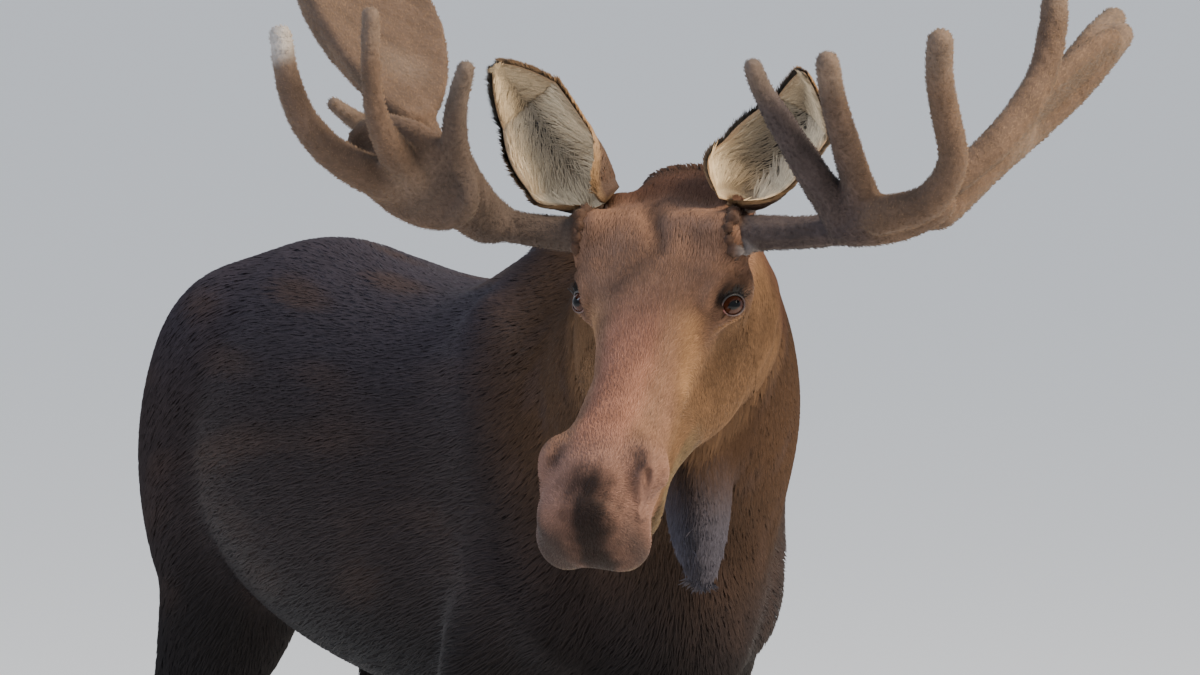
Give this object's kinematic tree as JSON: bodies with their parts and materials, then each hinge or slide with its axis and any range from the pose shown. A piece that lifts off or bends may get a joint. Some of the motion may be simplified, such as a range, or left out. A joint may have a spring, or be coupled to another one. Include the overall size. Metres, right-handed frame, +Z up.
{
  "type": "moose",
  "caption": "Life-size standing bull moose in summer velvet, head turned to its right and lowered, as a still museum-style model.",
  "frame": {"origin": "on the floor, at the middle of the rectangle that the whole model covers from above", "axes": "+Z up, -Y the way the body faces, +X to the animal's left"},
  "size_m": [1.3896, 2.72, 2.4841],
  "materials": {
    "coat": "short dense guard hair lying flat, near-black brown with a bluish sheen on the back",
    "face": "very short warm brown hair, darker on the muzzle and under the jaw",
    "ear": "brown back, long cream hair inside the rim",
    "velvet": "felt-like skin with fine upright hair, golden at the edges, greyer towards the tips",
    "eye": "wet and clear, dark brown iris with a wide pupil",
    "horn": "dark horn with fine growth lines, scuffed at the edges"
  },
  "bodies": {
    "root": {"antler_left_beam": "velvet", "antler_left_brow": "velvet", "antler_left_palm": "velvet", "antler_right_beam": "velvet", "antler_right_brow": "velvet", "antler_right_palm": "velvet", "bell": "coat", "dewclaw_fore_left_inner": "horn", "dewclaw_fore_left_outer": "horn", "dewclaw_fore_right_inner": "horn", "dewclaw_fore_right_outer": "horn", "dewclaw_hind_left_inner": "horn", "dewclaw_hind_left_outer": "horn", "dewclaw_hind_right_inner": "horn", "dewclaw_hind_right_outer": "horn", "ear_left": "ear", "ear_right": "ear", "eye_left": "eye", "eye_right": "eye", "fore_leg_left": "coat", "fore_leg_right": "coat", "head": "face", "hind_leg_left": "coat", "hind_leg_right": "coat", "hoof_fore_left_inner": "horn", "hoof_fore_left_outer": "horn", "hoof_fore_right_inner": "horn", "hoof_fore_right_outer": "horn", "hoof_hind_left_inner": "horn", "hoof_hind_left_outer": "horn", "hoof_hind_right_inner": "horn", "hoof_hind_right_outer": "horn", "neck": "coat", "tail": "coat", "trunk": "coat"}
  },
  "joints": []
}
